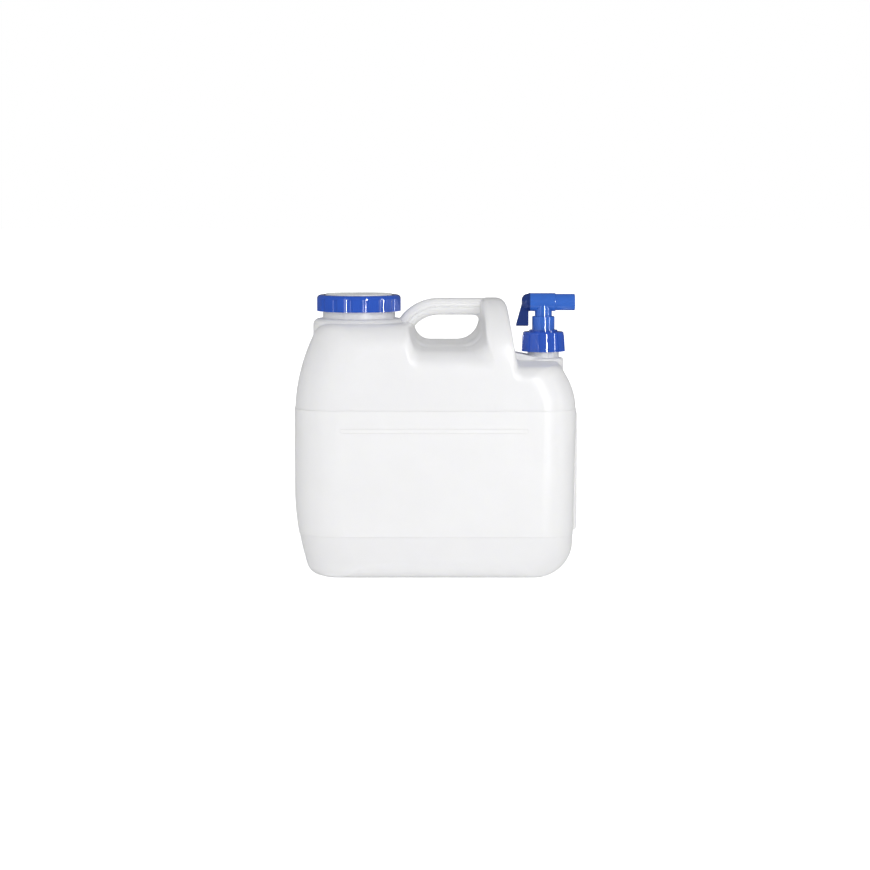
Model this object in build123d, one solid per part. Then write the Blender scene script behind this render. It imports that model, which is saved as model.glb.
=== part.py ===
from build123d import *
import math
import os

# Water can with a wide screw lid and a swivelling tap. Millimetres.
# X runs along the width, Y through the depth, Z up. The origin is the middle of the
# underside, and Y = 0 is the parting plane of the blow-moulded can.

# Can: overall
HALF_DEPTH = 96.9
WALL = 2.0
LEFT_WALL_X = -181.9
DEPTH_STEPS = 10
BASE_TRIM = 0.3

# Can: outline in the parting plane, one straight line after another
RIGHT_WALL_FOOT_X = 175.4
RIGHT_WALL_LEAN = 1.2
RIGHT_SHOULDER_Z = 236.1
RIGHT_SHOULDER_LEAN = 29.0
TAP_DECK_Z = 277.4
HUMP_FOOT_X = 103.8
HUMP_LEAN = 9.5
HUMP_TOP_Z = 356.0
POCKET_RIGHT_X = 55.7
POCKET_FLOOR_Z = 303.2
POCKET_LEFT_X = -22.0
POCKET_LEFT_LEAN = 72.0
LID_DECK_Z = 325.0
LEFT_SHOULDER_Z = 256.2
LEFT_SHOULDER_LEAN = 23.6
LEFT_FOOT_Z = 67.7
LEFT_FOOT_LEAN = 15.4

# Can: roundings from the sides into the front and back faces
LEFT_EDGE_R = 60.0
RIGHT_EDGE_R = 42.0
BASE_EDGE_R = 22.0
TAP_DECK_EDGE_R = 18.0
LID_DECK_EDGE_R = 33.0
HUMP_EDGE_R = 75.0
HUMP_SIDE_EDGE_R = 8.0
POCKET_EDGE_R = 20.0
POCKET_SIDE_EDGE_R = 12.0

# Can: how fast the finger pocket opens and the tap deck falls towards the front and back
POCKET_FLOOR_SLOPE = 0.155
POCKET_LEFT_SLOPE = 0.09
POCKET_RIGHT_SLOPE = 0.1
TAP_DECK_SLOPE = 0.07

# Can: raised belt, side foot and front bar
BELT_Z = (54.0, 216.0)
BELT_HEIGHT = 0.6
FOOT_X = 182.5
FOOT_Z = (58.0, 213.0)
FOOT_HALF_DEPTH = 48.0
FOOT_EDGE_R = 4.0
BAR_X = (-122.0, 118.0)
BAR_Z = 190.5
BAR_WIDTH = 5.0
BAR_HEIGHT = 0.5

# Can: hollow grip
GRIP_HEIGHT = 21.5
GRIP_DEPTH = 32.0
GRIP_CORNER_R = 8.5
GRIP_BEND_R = 52.0
GRIP_BEND_X = 4.0
GRIP_BEND_ANGLE = 60.0
GRIP_RIGHT_X = 64.0
GROOVE_R = 1.3
GROOVE_DEPTH = 0.9
GROOVE_PITCH = 5.4
GROOVE_COUNT = 3
GRIP_GUSSET_R = 8.0

# Can: lid pedestal and neck
LID_X = -100.0
LID_PEDESTAL_R = 59.5
LID_PEDESTAL_HEIGHT = 5.0
PEDESTAL_EDGE_R = 8.0
LID_NECK_R = 47.0
LID_NECK_HEIGHT = 24.0
NECK_WALL = 2.5

# Can: tap pedestal, the ramp that joins it to the hump, and the tap neck
TAP_X = 140.0
TAP_PEDESTAL_R = 26.0
TAP_PEDESTAL_HEIGHT = 1.2
TAP_PEDESTAL_EDGE_R = 2.4
RAMP_RISE = 7.0
RAMP_HALF_DEPTH = 21.0
RAMP_ROOT = 8.0
TAP_NECK_R = 20.5
TAP_NECK_HEIGHT = 24.9

# Lid: gasket, inner lid and screw ring
LID_GASKET_THICKNESS = 2.0
LID_GASKET_WIDTH = 3.6
GASKET_OVERHANG = 1.0
DISC_R = 43.6
DISC_RISE = 6.0
DISC_WALL = 2.0
DISC_EDGE_R = 0.9
DISC_RIM_WIDTH = 2.6
DISC_RECESS = 1.2
DISC_FLANGE_R = 49.2
DISC_SKIRT_DEPTH = 8.0
DISC_SKIRT_CLEARANCE = 0.7
RING_BORE_CLEARANCE = 0.8
RING_WALL = 4.5
RING_HEIGHT = 21.0
RING_LIP = 2.5
RING_EDGE_R = 4.6
RING_LIP_CLEARANCE = 0.6
FLUTE_COUNT = 16
FLUTE_R = 9.0
FLUTE_DEPTH = 1.2
FLUTE_STOP = 5.0

# Tap: gasket and screw ring
TAP_GASKET_THICKNESS = 2.0
TAP_GASKET_WIDTH = 3.6
TAP_RING_BORE_CLEARANCE = 0.6
TAP_RING_WALL = 3.0
TAP_RING_FLARE = 1.6
TAP_RING_HEIGHT = 25.5
TAP_RING_LIP = 4.0
TAP_RING_EDGE_R = 2.2
TAP_COLLAR_R = 18.5
TAP_COLLAR_HEIGHT = 2.2
TAP_COLLAR_CLEARANCE = 0.4
RIB_COUNT = 12
RIB_WIDTH = 2.4
RIB_HEIGHT = 0.8
RIB_STOP = 4.0

# Tap: body
TAP_FLANGE_R = 22.8
TAP_FLANGE_THICKNESS = 3.0
INLET_R = 14.7
INLET_BORE_R = 11.5
INLET_HEIGHT = 27.0
INLET_EDGE_R = 1.2
STEM_R = 11.2
STEM_BORE_R = 7.0
BARREL_RISE = 45.2
BARREL_R = 11.8
BARREL_BORE_R = 9.2
BARREL_LEFT = 17.3
BARREL_RIGHT = 15.8
BARREL_EDGE_R = 1.0
SPOUT_R = 10.75
SPOUT_BORE_R = 8.4
SPOUT_REACH = 41.0
SPOUT_EDGE_R = 1.2

# Tap: plug and lever
PLUG_CLEARANCE = 0.05
PLUG_WALL = 2.0
PLUG_LENGTH = 28.0
PORT_R = 5.5
HUB_GAP = 0.1
HUB_COLLAR_R = 12.0
HUB_COLLAR_WIDTH = 1.9
HUB_R = 10.9
HUB_LENGTH = 9.0
HUB_DOME_R = 8.0
BLADE_DROP = 31.0
BLADE_BOTTOM_WIDTH = 16.8
BLADE_INSET = 0.8
BLADE_THICKNESS = 6.0
BLADE_EDGE_R = 1.2

# Heights and radii that follow from the sizes above
LID_PEDESTAL_Z = LID_DECK_Z + LID_PEDESTAL_HEIGHT
LID_NECK_Z = LID_PEDESTAL_Z + LID_NECK_HEIGHT
LID_BORE_R = LID_NECK_R - NECK_WALL
LID_SEAT_Z = LID_NECK_Z + LID_GASKET_THICKNESS
RING_LIP_Z = LID_SEAT_Z + DISC_WALL
RING_TOP_Z = RING_LIP_Z + RING_LIP
RING_BORE_R = DISC_FLANGE_R + RING_BORE_CLEARANCE
RING_R = RING_BORE_R + RING_WALL
TAP_PEDESTAL_Z = TAP_DECK_Z + TAP_PEDESTAL_HEIGHT
TAP_NECK_Z = TAP_PEDESTAL_Z + TAP_NECK_HEIGHT
TAP_BORE_R = TAP_NECK_R - NECK_WALL
TAP_SEAT_Z = TAP_NECK_Z + TAP_GASKET_THICKNESS
TAP_LIP_Z = TAP_SEAT_Z + TAP_FLANGE_THICKNESS
TAP_RING_TOP_Z = TAP_LIP_Z + TAP_RING_LIP
TAP_RING_BORE_R = TAP_FLANGE_R + TAP_RING_BORE_CLEARANCE
TAP_RING_TOP_R = TAP_RING_BORE_R + TAP_RING_WALL
BARREL_Z = TAP_SEAT_Z + BARREL_RISE
COLLAR_LEFT = -BARREL_LEFT - HUB_GAP - HUB_COLLAR_WIDTH
HUB_LEFT = COLLAR_LEFT - HUB_LENGTH


def rounding(y, half_depth, radius):
    """How far a side has come in at the distance y from the parting plane."""
    past = y - (half_depth - radius)
    if past <= 0:
        return 0.0
    return radius - math.sqrt(max(radius ** 2 - past ** 2, 0.0))


def outline_lines(y, half_depth, inset):
    """The straight lines of the can's outline at depth y: point, direction and inset."""

    def edge(radius):
        return inset + rounding(y, half_depth, radius - inset)

    shoulder_x = RIGHT_WALL_FOOT_X + RIGHT_SHOULDER_Z * math.tan(math.radians(RIGHT_WALL_LEAN))
    left_foot_x = LEFT_WALL_X + LEFT_FOOT_Z * math.tan(math.radians(LEFT_FOOT_LEAN))
    return [
        ((0, -BASE_TRIM), 0, edge(BASE_EDGE_R)),
        ((RIGHT_WALL_FOOT_X, 0), 90 - RIGHT_WALL_LEAN, edge(RIGHT_EDGE_R)),
        ((shoulder_x, RIGHT_SHOULDER_Z), 90 + RIGHT_SHOULDER_LEAN, edge(RIGHT_EDGE_R)),
        ((0, TAP_DECK_Z), 180, edge(TAP_DECK_EDGE_R) + TAP_DECK_SLOPE * y),
        ((HUMP_FOOT_X, TAP_DECK_Z), 90 + HUMP_LEAN, edge(HUMP_SIDE_EDGE_R)),
        ((0, HUMP_TOP_Z), 180, edge(HUMP_EDGE_R)),
        ((POCKET_RIGHT_X, 0), 270, edge(POCKET_SIDE_EDGE_R) + POCKET_RIGHT_SLOPE * y),
        ((0, POCKET_FLOOR_Z), 180, edge(POCKET_EDGE_R) + POCKET_FLOOR_SLOPE * y),
        (
            (POCKET_LEFT_X, POCKET_FLOOR_Z),
            180 - POCKET_LEFT_LEAN,
            edge(POCKET_SIDE_EDGE_R) + POCKET_LEFT_SLOPE * y,
        ),
        ((0, LID_DECK_Z), 180, edge(LID_DECK_EDGE_R)),
        ((LEFT_WALL_X, LEFT_SHOULDER_Z), 270 - LEFT_SHOULDER_LEAN, edge(LEFT_EDGE_R)),
        ((LEFT_WALL_X, 0), 270, edge(LEFT_EDGE_R)),
        ((left_foot_x, 0), 270 + LEFT_FOOT_LEAN, edge(LEFT_EDGE_R)),
    ]


# Corner radii after each line above: at the parting plane, at the front face, and
# whether the corner is hollow
OUTLINE_CORNERS = [
    (46, 40, False),
    (90, 55, False),
    (14, 16, False),
    (8, 10, True),
    (15, 15, False),
    (8, 6, False),
    (28, 5, True),
    (20, 12, True),
    (7, 8, False),
    (24, 28, False),
    (245, 140, False),
    (350, 200, False),
    (18, 30, False),
]


def line_crossing(first, second):
    """Where two offset lines cross, as (x, z)."""
    points = []
    for (px, pz), angle, inset in (first, second):
        dx = math.cos(math.radians(angle))
        dz = math.sin(math.radians(angle))
        points.append((px - inset * dz, pz + inset * dx, dx, dz))
    (ax, az, adx, adz), (bx, bz, bdx, bdz) = points
    along = ((bx - ax) * bdz - (bz - az) * bdx) / (adx * bdz - adz * bdx)
    return ax + along * adx, az + along * adz


def can_outline(y, half_depth, inset):
    """Closed outline of the can at depth y, as lines joined by tangent arcs."""
    depth = abs(y)
    lines = outline_lines(depth, half_depth, inset)
    count = len(lines)
    corners = [line_crossing(lines[k], lines[(k + 1) % count]) for k in range(count)]
    share = rounding(depth, half_depth, half_depth) / half_depth
    turns = [(lines[(k + 1) % count][1] - lines[k][1] + 180) % 360 - 180 for k in range(count)]
    reaches = []
    for (start_r, front_r, hollow), turn in zip(OUTLINE_CORNERS, turns):
        radius = start_r + (front_r - start_r) * share + (inset if hollow else -inset)
        reaches.append(radius * math.tan(math.radians(abs(turn) / 2)))
    sides = [math.dist(corners[k - 1], corners[k]) for k in range(count)]
    fits = [min(1.0, 0.97 * sides[k] / (reaches[k - 1] + reaches[k])) for k in range(count)]
    edges = []
    arcs = []
    for k in range(count):
        cx, cz = corners[k]
        reach = reaches[k] * min(fits[k], fits[(k + 1) % count])
        a_in = math.radians(lines[k][1])
        a_out = math.radians(lines[(k + 1) % count][1])
        start = (cx - reach * math.cos(a_in), cz - reach * math.sin(a_in))
        end = (cx + reach * math.cos(a_out), cz + reach * math.sin(a_out))
        half_turn = math.radians(abs(turns[k]) / 2)
        sag = reach * math.tan(half_turn / 2)
        mid_x = (start[0] + end[0]) / 2
        mid_z = (start[1] + end[1]) / 2
        chord = math.dist((cx, cz), (mid_x, mid_z))
        bulge = sag * math.cos(half_turn)
        middle = (mid_x + (cx - mid_x) / chord * bulge, mid_z + (cz - mid_z) / chord * bulge)
        arcs.append((start, middle, end))
    for k, (start, middle, end) in enumerate(arcs):
        last = arcs[k - 1][2]
        edges.append(Edge.make_line((last[0], y, last[1]), (start[0], y, start[1])))
        points = [(x, y, z) for x, z in (start, middle, end)]
        edges.append(Edge.make_three_point_arc(*points))
    return Wire(edges)


def tank(inset):
    """The can's main hollow, as one skin through outlines at many depths."""
    half_depth = HALF_DEPTH - inset
    depths = [
        half_depth * math.sin(math.radians(90 * step / DEPTH_STEPS))
        for step in range(-DEPTH_STEPS, DEPTH_STEPS + 1)
    ]
    return Solid.make_loft([can_outline(y, half_depth, inset) for y in depths])


def disc(x, radius, bottom, top):
    """An upright cylinder at x on the parting plane, between two heights."""
    return Pos(x, 0, bottom) * Cylinder(
        radius, top - bottom, align=(Align.CENTER, Align.CENTER, Align.MIN)
    )


def block(low, high):
    """A box between two corners."""
    size = [b - a for a, b in zip(low, high)]
    return Pos(*low) * Box(*size, align=(Align.MIN, Align.MIN, Align.MIN))


def rounded_disc(x, radius, bottom, top, edge_r):
    """An upright cylinder whose top edge is rounded."""
    solid = disc(x, radius, bottom, top)
    return fillet(solid.edges().group_by(Axis.Z)[-1], edge_r)


def slab(low, high):
    """Everything between two heights, wider than the can."""
    reach = 2 * (FOOT_X + HALF_DEPTH)
    return block((-reach, -reach, low), (reach, reach, high))


def turned(points, axis_x=0.0):
    """A solid of revolution about an upright axis, from (radius, z) points."""
    face = make_face(Polyline(*[(r, 0, z) for r, z in points], close=True))
    return Pos(axis_x, 0, 0) * revolve(face, Axis.Z)


def belt():
    """The band round the middle of the can that stands a little proud."""
    return tank(-BELT_HEIGHT) & slab(*BELT_Z)


def side_foot(inset):
    """The flat raised foot that the can rests on when it lies on its right side."""
    low, high = FOOT_Z
    depth = FOOT_HALF_DEPTH - inset
    inner_x = FOOT_X - RIGHT_EDGE_R
    solid = block((inner_x, -depth, low + inset), (FOOT_X - inset, depth, high - inset))
    rims = solid.faces().sort_by(Axis.X)[-1].edges() + solid.edges().filter_by(Axis.X)
    return fillet(rims, FOOT_EDGE_R - inset)


def front_bars():
    """A low moulded bar across the front and the back face."""
    left, right = BAR_X
    face_y = HALF_DEPTH + BELT_HEIGHT
    bar = SlotOverall(right - left, BAR_WIDTH)
    length = 2 * (face_y + BAR_HEIGHT)
    solid = extrude(Plane.XZ * bar, length / 2, both=True)
    return Pos((left + right) / 2, 0, BAR_Z) * solid


def grip(inset):
    """The hollow grip: a straight run into the hump and a bend down to the lid deck."""
    centre_z = HUMP_TOP_Z - GRIP_HEIGHT / 2
    start = Plane(origin=(GRIP_BEND_X, 0, centre_z), x_dir=(0, 1, 0), z_dir=(1, 0, 0))
    if inset:
        depth = GRIP_DEPTH - 2 * (inset + GROOVE_DEPTH)
        section = RectangleRounded(depth, GRIP_HEIGHT - 2 * inset, GRIP_CORNER_R - inset)
    else:
        section = RectangleRounded(GRIP_DEPTH, GRIP_HEIGHT, GRIP_CORNER_R)
        groove_x = GRIP_DEPTH / 2 + GROOVE_R - GROOVE_DEPTH
        for row in range(GROOVE_COUNT):
            groove_y = (row - (GROOVE_COUNT - 1) / 2) * GROOVE_PITCH
            for side in (-1, 1):
                section -= Pos(side * groove_x, groove_y) * Circle(GROOVE_R)
    section = start * section
    run = extrude(section, GRIP_RIGHT_X - GRIP_BEND_X)
    bend_axis = Axis((GRIP_BEND_X, 0, centre_z - GRIP_BEND_R), (0, -1, 0))
    return run + revolve(section, bend_axis, GRIP_BEND_ANGLE)


def grip_gusset():
    """The rounded corner between the underside of the grip and the hump."""
    bottom = HUMP_TOP_Z - GRIP_HEIGHT
    left = POCKET_RIGHT_X - GRIP_GUSSET_R
    low = bottom - GRIP_GUSSET_R
    depth = GRIP_DEPTH / 2 - GRIP_CORNER_R
    root = GRIP_CORNER_R
    solid = block((left, -depth, low), (POCKET_RIGHT_X + root, depth, bottom + root))
    return solid - Pos(left, 0, low) * Rot(90, 0, 0) * Cylinder(GRIP_GUSSET_R, GRIP_DEPTH)


def tap_ramp(inset):
    """The low ramp that runs down from the hump's foot onto the tap pedestal."""
    root = TAP_DECK_Z - RAMP_ROOT
    left = HUMP_FOOT_X - RAMP_ROOT
    top = TAP_PEDESTAL_Z + RAMP_RISE - inset
    low = TAP_PEDESTAL_Z - inset
    outline = Polyline(
        (left, root), (left, top), (HUMP_FOOT_X, top), (TAP_X, low), (TAP_X, root), close=True
    )
    return extrude(Plane.XZ * make_face(outline), RAMP_HALF_DEPTH - inset, both=True)


def can_form(inset):
    """The can as a closed form: its skin with inset 0, its hollow with the wall."""
    lid_pedestal = rounded_disc(
        LID_X,
        LID_PEDESTAL_R - inset,
        LID_DECK_Z - LID_DECK_EDGE_R,
        LID_PEDESTAL_Z - inset,
        PEDESTAL_EDGE_R - inset,
    )
    tap_pedestal = rounded_disc(
        TAP_X,
        TAP_PEDESTAL_R - inset,
        TAP_DECK_Z - TAP_DECK_EDGE_R,
        TAP_PEDESTAL_Z - inset,
        TAP_PEDESTAL_EDGE_R - inset,
    )
    solid = tank(inset) + grip(inset) + side_foot(inset)
    return solid + lid_pedestal + tap_ramp(inset) + tap_pedestal


def can_body():
    """The blow-moulded can: one hollow piece with its grip, pedestals and necks."""
    solid = can_form(0) + belt() + front_bars() + grip_gusset()
    solid += disc(LID_X, LID_NECK_R, LID_DECK_Z, LID_NECK_Z)
    solid += disc(TAP_X, TAP_NECK_R, TAP_DECK_Z, TAP_NECK_Z)
    solid &= slab(0, LID_NECK_Z + HUMP_TOP_Z)
    hollow = can_form(WALL)
    hollow += disc(LID_X, LID_BORE_R, LID_DECK_Z - LID_DECK_EDGE_R, LID_NECK_Z)
    hollow += disc(TAP_X, TAP_BORE_R, TAP_DECK_Z - TAP_DECK_EDGE_R, TAP_NECK_Z)
    return solid - hollow


def lid_disc():
    """The inner lid: a raised panel, a flange under the ring and a centring skirt."""
    skirt_r = LID_BORE_R - DISC_SKIRT_CLEARANCE
    skirt_z = LID_NECK_Z - DISC_SKIRT_DEPTH
    top = LID_SEAT_Z + DISC_RISE
    under = top - DISC_RECESS - DISC_WALL
    solid = turned([
        (0, top),
        (DISC_R, top),
        (DISC_R, RING_LIP_Z),
        (DISC_FLANGE_R, RING_LIP_Z),
        (DISC_FLANGE_R, LID_SEAT_Z),
        (skirt_r, LID_SEAT_Z),
        (skirt_r, skirt_z),
        (skirt_r - DISC_WALL, skirt_z),
        (skirt_r - DISC_WALL, under),
        (0, under),
    ], LID_X)
    solid -= disc(LID_X, DISC_R - DISC_RIM_WIDTH, top - DISC_RECESS, top)
    return fillet(solid.edges().group_by(Axis.Z)[-1], DISC_EDGE_R)


def flat_ring(x, outer_r, width, bottom, thickness):
    """A flat ring seal."""
    top = bottom + thickness
    return disc(x, outer_r, bottom, top) - disc(x, outer_r - width, bottom, top)


def lid_gasket():
    """The seal between the neck's lip and the inner lid."""
    outer_r = LID_NECK_R + GASKET_OVERHANG
    return flat_ring(LID_X, outer_r, LID_GASKET_WIDTH, LID_NECK_Z, LID_GASKET_THICKNESS)


def lid_ring():
    """The screw ring: a lip over the inner lid and grip flutes round the outside."""
    bottom = RING_TOP_Z - RING_HEIGHT
    solid = rounded_disc(0, RING_R, bottom, RING_TOP_Z, RING_EDGE_R)
    flute_x = RING_R + FLUTE_R - FLUTE_DEPTH
    flute_top = RING_TOP_Z - FLUTE_STOP
    flute = disc(flute_x, FLUTE_R, bottom, flute_top)
    for step in range(FLUTE_COUNT):
        solid -= Rot(0, 0, (step + 0.5) * 360 / FLUTE_COUNT - 90) * flute
    solid -= disc(0, RING_BORE_R, bottom, RING_LIP_Z)
    solid -= disc(0, DISC_R + RING_LIP_CLEARANCE, RING_LIP_Z, RING_TOP_Z)
    return Pos(LID_X, 0, 0) * solid


def tap_ring():
    """The tap's screw ring: a flaring skirt with ribs, a lip and a short collar."""
    bottom = TAP_RING_TOP_Z - TAP_RING_HEIGHT
    bottom_r = TAP_RING_TOP_R + TAP_RING_FLARE
    rib_top = TAP_RING_TOP_Z - RIB_STOP
    top_r = TAP_RING_TOP_R
    skin = turned([(0, bottom), (bottom_r, bottom), (top_r, TAP_RING_TOP_Z), (0, TAP_RING_TOP_Z)])
    skin = fillet(skin.edges().group_by(Axis.Z)[-1], TAP_RING_EDGE_R)
    lean = math.degrees(math.atan2(TAP_RING_FLARE, TAP_RING_HEIGHT))
    box = Box(2 * RIB_HEIGHT, RIB_WIDTH, 2 * TAP_RING_HEIGHT)
    rib = Pos(bottom_r, 0, bottom) * Rot(0, -lean, 0) * box
    rib &= block((0, -RIB_WIDTH, bottom), (2 * bottom_r, RIB_WIDTH, rib_top))
    for step in range(RIB_COUNT):
        skin += Rot(0, 0, (step + 0.5) * 360 / RIB_COUNT - 90) * rib
    collar_top = TAP_RING_TOP_Z + TAP_COLLAR_HEIGHT
    skin += disc(0, TAP_COLLAR_R, TAP_LIP_Z, collar_top)
    skin -= disc(0, TAP_RING_BORE_R, bottom, TAP_LIP_Z)
    skin -= disc(0, INLET_R + TAP_COLLAR_CLEARANCE, TAP_LIP_Z, collar_top)
    return Pos(TAP_X, 0, 0) * skin


def tap_gasket():
    """The seal between the tap neck's lip and the tap's flange."""
    outer_r = TAP_NECK_R + GASKET_OVERHANG
    return flat_ring(TAP_X, outer_r, TAP_GASKET_WIDTH, TAP_NECK_Z, TAP_GASKET_THICKNESS)


def along_x(start, end, radius):
    """A lying cylinder on the barrel's axis, between two distances from the tap axis."""
    solid = Cylinder(radius, end - start, align=(Align.CENTER, Align.CENTER, Align.MIN))
    return Pos(start, 0, BARREL_Z) * Rot(0, 90, 0) * solid


def tap_body():
    """The tap's tee: flanged inlet, stem, valve barrel and spout, bored through."""
    inlet_top = TAP_SEAT_Z + INLET_HEIGHT
    stem = disc(0, STEM_R, TAP_SEAT_Z, BARREL_Z)
    barrel = along_x(-BARREL_LEFT, BARREL_RIGHT, BARREL_R)
    barrel = fillet(barrel.edges().group_by(Axis.X)[-1], BARREL_EDGE_R)
    spout = along_x(0, SPOUT_REACH, SPOUT_R)
    spout = fillet(spout.edges().group_by(Axis.X)[-1], SPOUT_EDGE_R)
    inlet = rounded_disc(0, INLET_R, TAP_SEAT_Z, inlet_top, INLET_EDGE_R)
    flange = disc(0, TAP_FLANGE_R, TAP_SEAT_Z, TAP_LIP_Z)
    solid = flange + inlet + stem + barrel + spout
    solid -= along_x(-BARREL_LEFT, PLUG_LENGTH - BARREL_LEFT, BARREL_BORE_R)
    solid -= along_x(0, SPOUT_REACH, SPOUT_BORE_R)
    solid -= disc(0, INLET_BORE_R, TAP_SEAT_Z, inlet_top - (INLET_R - INLET_BORE_R))
    solid -= disc(0, STEM_BORE_R, TAP_SEAT_Z, BARREL_Z)
    return Pos(TAP_X, 0, 0) * solid


def lever_blade():
    """The flat blade that hangs from the hub and widens towards its foot."""
    foot_z = BARREL_Z - BLADE_DROP
    outline = Polyline(
        (HUB_LEFT + BLADE_INSET, BARREL_Z),
        (COLLAR_LEFT - BLADE_BOTTOM_WIDTH, foot_z),
        (COLLAR_LEFT, foot_z),
        (COLLAR_LEFT, BARREL_Z),
        close=True,
    )
    blade = extrude(Plane.XZ * make_face(outline), BLADE_THICKNESS / 2, both=True)
    return fillet(blade.edges().group_by(Axis.Z)[0], BLADE_EDGE_R)


def tap_lever():
    """The hollow plug with its side port, and the hub and blade on the plug's end."""
    plug_r = BARREL_BORE_R - PLUG_CLEARANCE
    plug_end = PLUG_LENGTH - BARREL_LEFT
    solid = along_x(COLLAR_LEFT, plug_end, plug_r)
    solid -= along_x(PLUG_WALL - BARREL_LEFT, plug_end, plug_r - PLUG_WALL)
    port = Cylinder(PORT_R, BARREL_R, align=(Align.CENTER, Align.CENTER, Align.MIN))
    solid -= Pos(0, 0, BARREL_Z) * Rot(-90, 0, 0) * port
    solid += along_x(COLLAR_LEFT, COLLAR_LEFT + HUB_COLLAR_WIDTH, HUB_COLLAR_R)
    hub = along_x(HUB_LEFT, COLLAR_LEFT, HUB_R)
    hub = fillet(hub.edges().group_by(Axis.X)[0], HUB_DOME_R)
    return Pos(TAP_X, 0, 0) * (solid + hub + lever_blade())


NODES = {
    "can_body": can_body,
    "lid_ring": lid_ring,
    "lid_disc": lid_disc,
    "lid_gasket": lid_gasket,
    "tap_ring": tap_ring,
    "tap_body": tap_body,
    "tap_lever": tap_lever,
    "tap_gasket": tap_gasket,
}

os.makedirs("parts", exist_ok=True)
for name, build in NODES.items():
    export_step(build(), f"parts/{name}.step")
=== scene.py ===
import bpy
import bmesh
import math
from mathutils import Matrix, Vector


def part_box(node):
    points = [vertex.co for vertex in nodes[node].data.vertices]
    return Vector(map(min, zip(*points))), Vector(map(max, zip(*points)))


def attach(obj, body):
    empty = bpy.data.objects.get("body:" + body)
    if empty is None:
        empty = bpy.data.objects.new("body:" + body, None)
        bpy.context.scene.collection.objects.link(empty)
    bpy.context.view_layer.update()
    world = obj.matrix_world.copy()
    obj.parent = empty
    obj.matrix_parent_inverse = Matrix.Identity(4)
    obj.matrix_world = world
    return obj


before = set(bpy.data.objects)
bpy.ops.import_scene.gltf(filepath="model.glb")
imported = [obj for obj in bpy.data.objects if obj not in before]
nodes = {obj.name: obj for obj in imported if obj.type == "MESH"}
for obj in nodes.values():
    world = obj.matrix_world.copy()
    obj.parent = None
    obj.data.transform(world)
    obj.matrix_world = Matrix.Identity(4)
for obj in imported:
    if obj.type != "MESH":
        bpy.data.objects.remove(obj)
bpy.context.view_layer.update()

# Places of the two necks, in metres, worked out from the frame
ring_low, ring_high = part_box("lid_ring")
seal_low, seal_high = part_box("lid_gasket")
tap_ring_low, tap_ring_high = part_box("tap_ring")
tap_seal_low, tap_seal_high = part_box("tap_gasket")

# How far each gasket stands out past its neck's wall
seal_overhang = 0.001

lid_x = (ring_low.x + ring_high.x) / 2
tap_x = (tap_ring_low.x + tap_ring_high.x) / 2
lid_neck_r = (seal_high.x - seal_low.x) / 2 - seal_overhang
tap_neck_r = (tap_seal_high.x - tap_seal_low.x) / 2 - seal_overhang
lid_neck_top = seal_low.z
tap_neck_top = tap_seal_low.z

# Bores of the two rings, in metres
lid_ring_bore_r = 0.050
tap_ring_bore_r = 0.0234

# Screw threads, in metres, turns and shares
thread_pitch = 0.006
thread_half_width = 0.0013
thread_crest_share = 0.35
thread_root = 0.0006
thread_fade_share = 0.08
thread_steps_per_turn = 72
lid_thread_depth = 0.0019
tap_thread_depth = 0.0018
lid_thread_drop = 0.0155
tap_thread_drop = 0.015
neck_thread_turns = 2.0
ring_thread_turns = 1.5
outwards = 1
inwards = -1

# Edges up to this many degrees are shaded smooth
smooth_angle = 35

# Moulding marks on the can, in metres, with the samples that soften a join
seam_height = 0.0005
seam_half_width = 0.0007
join_radius = 0.001
join_samples = 4

# Noise in the plastics, as a scale per metre and a level of detail
cloud_scale = 22
cloud_detail = 3
gloss_scale = 160
gloss_detail = 3
wave_scale = 14
wave_detail = 1
grain_scale = 2600
grain_detail = 2

# Where along the noise a ramp starts and ends
ramp_low_at = 0.3
ramp_high_at = 0.7

# What all the plastics share, with the depth that light scatters to in metres
gloss_spread = 0.12
plastic_ior = 1.5
scatter_tint = (1.0, 1.0, 0.9)
scatter_depth = 0.004
coat_roughness = 0.06

# Camera, in metres, degrees and pixels, with its sensor in millimetres, from the photograph
camera_distance = 3.9
camera_elevation = 5.2
camera_target = Vector((-0.0010, 0, 0.177))
camera_focal_pixels = 2985
camera_reach = 100
photo_pixels = 870
sensor_width = 36

# Surround and floor, as strengths, with the floor's half width in metres
world_light = 0.70
world_mirror = 0.12
floor_shade = 0.90
floor_light = 0.25
floor_glow = 0.80
floor_reach = 20

# The soft light in front, in degrees, metres and radiance
light_aim = Vector((0, 0, 0.2))
front_azimuth = 8
front_elevation = 18
front_distance = 2.2
front_width = 1.6
front_height = 1.2
front_radiance = 2.3

# The strips that are only mirrored, in the same units
strip_elevation = 12
strip_distance = 1.9
strip_height = 1.0
key_azimuth = 21
key_width = 0.08
key_radiance = 110
left_azimuth = -36
left_width = 0.4
left_radiance = 2.6
right_azimuth = 66
right_width = 0.12
right_radiance = 20


def new_material(name):
    """A material with a Principled shader, with its node tree and that shader."""
    material = bpy.data.materials.new(name)
    material.use_nodes = True
    tree = material.node_tree
    return material, tree, tree.nodes["Principled BSDF"]


def noise(tree, scale, detail):
    """A noise texture in the object's own space."""
    coordinates = tree.nodes.new("ShaderNodeTexCoord")
    texture = tree.nodes.new("ShaderNodeTexNoise")
    texture.inputs["Scale"].default_value = scale
    texture.inputs["Detail"].default_value = detail
    tree.links.new(coordinates.outputs["Object"], texture.inputs["Vector"])
    return texture.outputs["Fac"]


def ramp(tree, source, low, high):
    """A ramp from one colour to another, driven by a texture."""
    node = tree.nodes.new("ShaderNodeValToRGB")
    node.color_ramp.elements[0].position = ramp_low_at
    node.color_ramp.elements[1].position = ramp_high_at
    node.color_ramp.elements[0].color = (*low, 1)
    node.color_ramp.elements[1].color = (*high, 1)
    tree.links.new(source, node.inputs["Fac"])
    return node.outputs["Color"]


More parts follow.
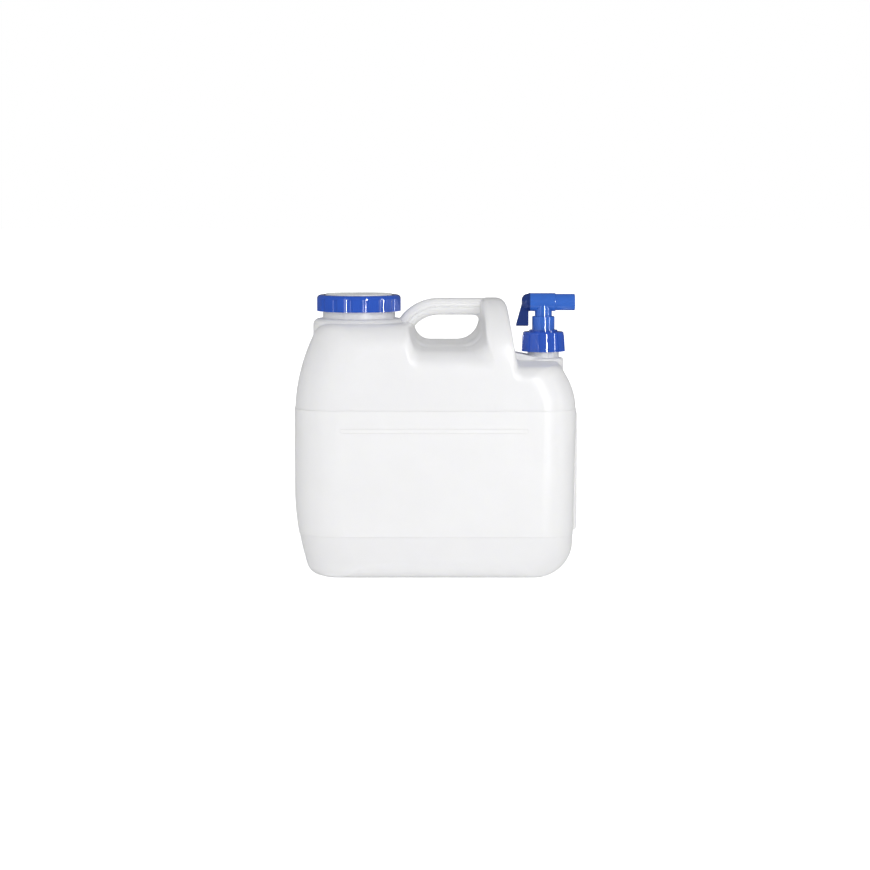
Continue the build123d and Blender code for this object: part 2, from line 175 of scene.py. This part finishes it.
def bump(tree, source, distance, under=None):
    """A bump from a texture, laid over another bump if one is given."""
    node = tree.nodes.new("ShaderNodeBump")
    node.inputs["Distance"].default_value = distance
    tree.links.new(source, node.inputs["Height"])
    if under is not None:
        tree.links.new(under, node.inputs["Normal"])
    return node.outputs["Normal"]


def moulded_plastic(name, colour, spread, roughness, grain, wave, subsurface=0.0, coat=0.0):
    """Moulded plastic: a colour with a faint cloud in it, an uneven gloss, a fine grain and slow waves."""
    material, tree, shader = new_material(name)
    cloud = noise(tree, cloud_scale, cloud_detail)
    low = [c * (1 - spread) for c in colour]
    high = [c * (1 + spread) for c in colour]
    tree.links.new(ramp(tree, cloud, low, high), shader.inputs["Base Color"])
    uneven = noise(tree, gloss_scale, gloss_detail)
    smoother = [roughness * (1 - gloss_spread)] * 3
    rougher = [roughness * (1 + gloss_spread)] * 3
    tree.links.new(ramp(tree, uneven, smoother, rougher), shader.inputs["Roughness"])
    slow = noise(tree, wave_scale, wave_detail)
    fine = noise(tree, grain_scale, grain_detail)
    waves = bump(tree, slow, wave)
    tree.links.new(bump(tree, fine, grain, waves), shader.inputs["Normal"])
    shader.inputs["IOR"].default_value = plastic_ior
    shader.inputs["Subsurface Weight"].default_value = subsurface
    shader.inputs["Subsurface Radius"].default_value = scatter_tint
    shader.inputs["Subsurface Scale"].default_value = scatter_depth
    shader.inputs["Coat Weight"].default_value = coat
    shader.inputs["Coat Roughness"].default_value = coat_roughness
    return material


def add_moulding_marks(material):
    """Softens the joins of the can and raises a thin seam along its parting plane, under the waves."""
    tree = material.node_tree
    bumps = [node for node in tree.nodes if node.type == "BUMP"]
    waves = next(node for node in bumps if not node.inputs["Normal"].is_linked)
    joins = tree.nodes.new("ShaderNodeBevel")
    joins.samples = join_samples
    joins.inputs["Radius"].default_value = join_radius
    coordinates = tree.nodes.new("ShaderNodeTexCoord")
    split = tree.nodes.new("ShaderNodeSeparateXYZ")
    tree.links.new(coordinates.outputs["Object"], split.inputs["Vector"])
    distance = tree.nodes.new("ShaderNodeMath")
    distance.operation = "ABSOLUTE"
    tree.links.new(split.outputs["Y"], distance.inputs[0])
    ridge = tree.nodes.new("ShaderNodeMapRange")
    ridge.interpolation_type = "SMOOTHSTEP"
    ridge.inputs["From Max"].default_value = seam_half_width
    ridge.inputs["To Min"].default_value = 1.0
    ridge.inputs["To Max"].default_value = 0.0
    tree.links.new(distance.outputs["Value"], ridge.inputs["Value"])
    seam = bump(tree, ridge.outputs["Result"], seam_height, joins.outputs["Normal"])
    tree.links.new(seam, waves.inputs["Normal"])


def can_plastic():
    """Milky polyethylene with a satin finish and the can's moulding marks."""
    material = moulded_plastic(
        "can_plastic",
        colour=(0.865, 0.865, 0.863),
        spread=0.008,
        roughness=0.40,
        grain=0.00002,
        wave=0.0006,
        subsurface=0.7,
    )
    add_moulding_marks(material)
    return material


def disc_plastic():
    """The inner lid's milky polyethylene, a little greyer than the can's."""
    return moulded_plastic(
        "disc_plastic",
        colour=(0.80, 0.81, 0.80),
        spread=0.012,
        roughness=0.38,
        grain=0.00002,
        wave=0.0003,
        subsurface=0.25,
    )


def ring_plastic():
    """The screw rings' glossy blue polypropylene."""
    return moulded_plastic(
        "ring_plastic",
        colour=(0.028, 0.095, 0.50),
        spread=0.05,
        roughness=0.06,
        grain=0.000003,
        wave=0.00015,
        coat=0.3,
    )


def tap_plastic():
    """The tap's glossy blue polypropylene, lighter than the rings'."""
    return moulded_plastic(
        "tap_plastic",
        colour=(0.040, 0.145, 0.58),
        spread=0.05,
        roughness=0.09,
        grain=0.000003,
        wave=0.00015,
        coat=0.3,
    )


def lever_plastic():
    """The lever's glossy blue polypropylene, darker than the rings': the darker blue is painted shade on
    the lever's flat blade.
    """
    return moulded_plastic(
        "lever_plastic",
        # A darker blue than the rings': painted shade, standing for the shade that falls on the lever's
        # blade
        colour=(0.013, 0.037, 0.19),
        spread=0.05,
        roughness=0.12,
        grain=0.000003,
        wave=0.00015,
        coat=0.2,
    )


def gasket_rubber():
    """The gaskets' matt white rubber."""
    return moulded_plastic(
        "gasket_rubber",
        colour=(0.72, 0.72, 0.71),
        spread=0.03,
        roughness=0.6,
        grain=0.00002,
        wave=0.0002,
    )


def set_material(obj, material):
    """Puts one material in every slot of an object."""
    if not obj.material_slots:
        obj.data.materials.append(material)
    for slot in obj.material_slots:
        slot.material = material


def shade(obj):
    """Smooth shading that keeps the sharp edges."""
    for polygon in obj.data.polygons:
        polygon.use_smooth = True
    obj.data.set_sharp_from_angle(angle=math.radians(smooth_angle))


def new_object(name, data):
    """An object in the scene for a mesh, a light or a camera."""
    obj = bpy.data.objects.new(name, data)
    bpy.context.scene.collection.objects.link(obj)
    return obj


def helix_ridge(name, x, radius, start_z, turns, depth, side):
    """A screw thread: a ridge of trapezoid section that winds up a round wall and fades at its ends."""
    steps = int(turns * thread_steps_per_turn)
    half_crest = thread_half_width * thread_crest_share
    builder = bmesh.new()
    rows = []
    for step in range(steps + 1):
        share = step / steps
        fade = min(1.0, share / thread_fade_share, (1 - share) / thread_fade_share)
        angle = 2 * math.pi * turns * share
        z = start_z + thread_pitch * turns * share
        root_r = radius - side * thread_root
        crest_r = radius + side * depth * fade
        section = [
            (root_r, z - thread_half_width),
            (crest_r, z - half_crest),
            (crest_r, z + half_crest),
            (root_r, z + thread_half_width),
        ]
        rows.append([
            builder.verts.new((x + r * math.cos(angle), r * math.sin(angle), height))
            for r, height in section
        ])
    corners = len(section)
    for first, second in zip(rows, rows[1:]):
        for k in range(corners):
            following = (k + 1) % corners
            builder.faces.new((first[k], first[following], second[following], second[k]))
    builder.faces.new(reversed(rows[0]))
    builder.faces.new(rows[-1])
    bmesh.ops.recalc_face_normals(builder, faces=builder.faces)
    mesh = bpy.data.meshes.new(name)
    builder.to_mesh(mesh)
    builder.free()
    return new_object(name, mesh)


def screw_thread_pair(name, body, x, neck_r, bore_r, depth, start_z, neck_material, ring_material):
    """The thread on a neck and, half a pitch higher, the one inside its ring."""
    outer = helix_ridge(name + "_neck_thread", x, neck_r, start_z, neck_thread_turns, depth, outwards)
    set_material(outer, neck_material)
    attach(outer, "can")
    shade(outer)
    half_pitch = thread_pitch / 2
    inner_z = start_z + half_pitch
    inner = helix_ridge(name + "_ring_thread", x, bore_r, inner_z, ring_thread_turns, depth, inwards)
    set_material(inner, ring_material)
    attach(inner, body)
    shade(inner)


def dress_object():
    """Gives every CAD piece its material and adds the screw threads of the lid and the tap."""
    can = can_plastic()
    disc = disc_plastic()
    ring = ring_plastic()
    tap = tap_plastic()
    # The lever gets a darker blue: painted shade on its blade
    lever = lever_plastic()
    seal = gasket_rubber()
    for node, material in (
        ("can_body", can),
        ("lid_disc", disc),
        ("lid_ring", ring),
        ("tap_ring", ring),
        ("tap_body", tap),
        ("tap_lever", lever),
        ("lid_gasket", seal),
        ("tap_gasket", seal),
    ):
        set_material(nodes[node], material)
        shade(nodes[node])
    screw_thread_pair(
        "lid",
        body="lid_ring",
        x=lid_x,
        neck_r=lid_neck_r,
        bore_r=lid_ring_bore_r,
        depth=lid_thread_depth,
        start_z=lid_neck_top - lid_thread_drop,
        neck_material=can,
        ring_material=ring,
    )
    screw_thread_pair(
        "tap",
        body="tap_ring",
        x=tap_x,
        neck_r=tap_neck_r,
        bore_r=tap_ring_bore_r,
        depth=tap_thread_depth,
        start_z=tap_neck_top - tap_thread_drop,
        neck_material=can,
        ring_material=ring,
    )


def aim(obj, target, away, distance):
    """Puts a light or the camera at a distance from the target, facing it."""
    obj.location = target + away * distance
    obj.rotation_euler = away.to_track_quat("Z", "Y").to_euler()


def softbox(name, azimuth, elevation, distance, width, height, radiance):
    """A rectangular light that faces the object, with its strength given as radiance."""
    data = bpy.data.lights.new(name, "AREA")
    data.shape = "RECTANGLE"
    data.size = width
    data.size_y = height
    data.energy = radiance * math.pi * width * height
    light = new_object(name, data)
    a = math.radians(azimuth)
    e = math.radians(elevation)
    away = Vector((math.sin(a) * math.cos(e), -math.cos(a) * math.cos(e), math.sin(e)))
    aim(light, light_aim, away, distance)
    return light


def front_light():
    """The large soft light in front, which isn't mirrored in the plastic."""
    light = softbox(
        "front_box",
        front_azimuth,
        front_elevation,
        front_distance,
        front_width,
        front_height,
        front_radiance,
    )
    light.visible_glossy = False


def mirrored_strips():
    """Upright strips that show only as highlights in the plastic."""
    for name, azimuth, width, radiance in (
        ("key_strip", key_azimuth, key_width, key_radiance),
        ("left_box", left_azimuth, left_width, left_radiance),
        ("right_strip", right_azimuth, right_width, right_radiance),
    ):
        strip = softbox(name, azimuth, strip_elevation, strip_distance, width, strip_height, radiance)
        strip.visible_diffuse = False


def light_path(tree, output, low, high):
    """A value that is high for one kind of ray and low for the others."""
    path = tree.nodes.new("ShaderNodeLightPath")
    value = tree.nodes.new("ShaderNodeMapRange")
    value.inputs["To Min"].default_value = low
    value.inputs["To Max"].default_value = high
    tree.links.new(path.outputs[output], value.inputs["Value"])
    return value.outputs["Result"]


def surround():
    """A white surround that lights evenly, mirrors only faintly and looks fully white."""
    world = bpy.data.worlds.new("surround")
    bpy.context.scene.world = world
    world.use_nodes = True
    tree = world.node_tree
    shader = tree.nodes["Background"]
    mirrored = light_path(tree, "Is Glossy Ray", world_light, world_mirror)
    seen = light_path(tree, "Is Camera Ray", 0.0, 1.0)
    strength = tree.nodes.new("ShaderNodeMath")
    strength.operation = "MAXIMUM"
    tree.links.new(mirrored, strength.inputs[0])
    tree.links.new(seen, strength.inputs[1])
    tree.links.new(strength.outputs["Value"], shader.inputs["Strength"])
    shader.inputs["Color"].default_value = (1, 1, 1, 1)


def floor():
    """A white floor that keeps the soft shadow under the can and isn't mirrored in it."""
    builder = bmesh.new()
    bmesh.ops.create_grid(builder, x_segments=1, y_segments=1, size=floor_reach)
    mesh = bpy.data.meshes.new("floor")
    builder.to_mesh(mesh)
    builder.free()
    obj = new_object("floor", mesh)
    material, tree, shader = new_material("floor_white")
    shader.inputs["Base Color"].default_value = (floor_shade, floor_shade, floor_shade, 1)
    shader.inputs["Roughness"].default_value = 1.0
    shader.inputs["Specular IOR Level"].default_value = 0.0
    shader.inputs["Emission Color"].default_value = (1, 1, 1, 1)
    glow = light_path(tree, "Is Camera Ray", floor_light, floor_glow)
    tree.links.new(glow, shader.inputs["Emission Strength"])
    set_material(obj, material)
    obj.visible_glossy = False


def camera():
    """The camera at the photograph's place and angle."""
    data = bpy.data.cameras.new("camera")
    data.sensor_width = sensor_width
    data.lens = camera_focal_pixels / photo_pixels * sensor_width
    data.clip_end = camera_reach
    obj = new_object("camera", data)
    e = math.radians(camera_elevation)
    away = Vector((0, -math.cos(e), math.sin(e)))
    aim(obj, camera_target, away, camera_distance)
    bpy.context.scene.camera = obj


dress_object()
front_light()
mirrored_strips()
surround()
floor()
camera()
bpy.context.scene.view_settings.view_transform = "Standard"
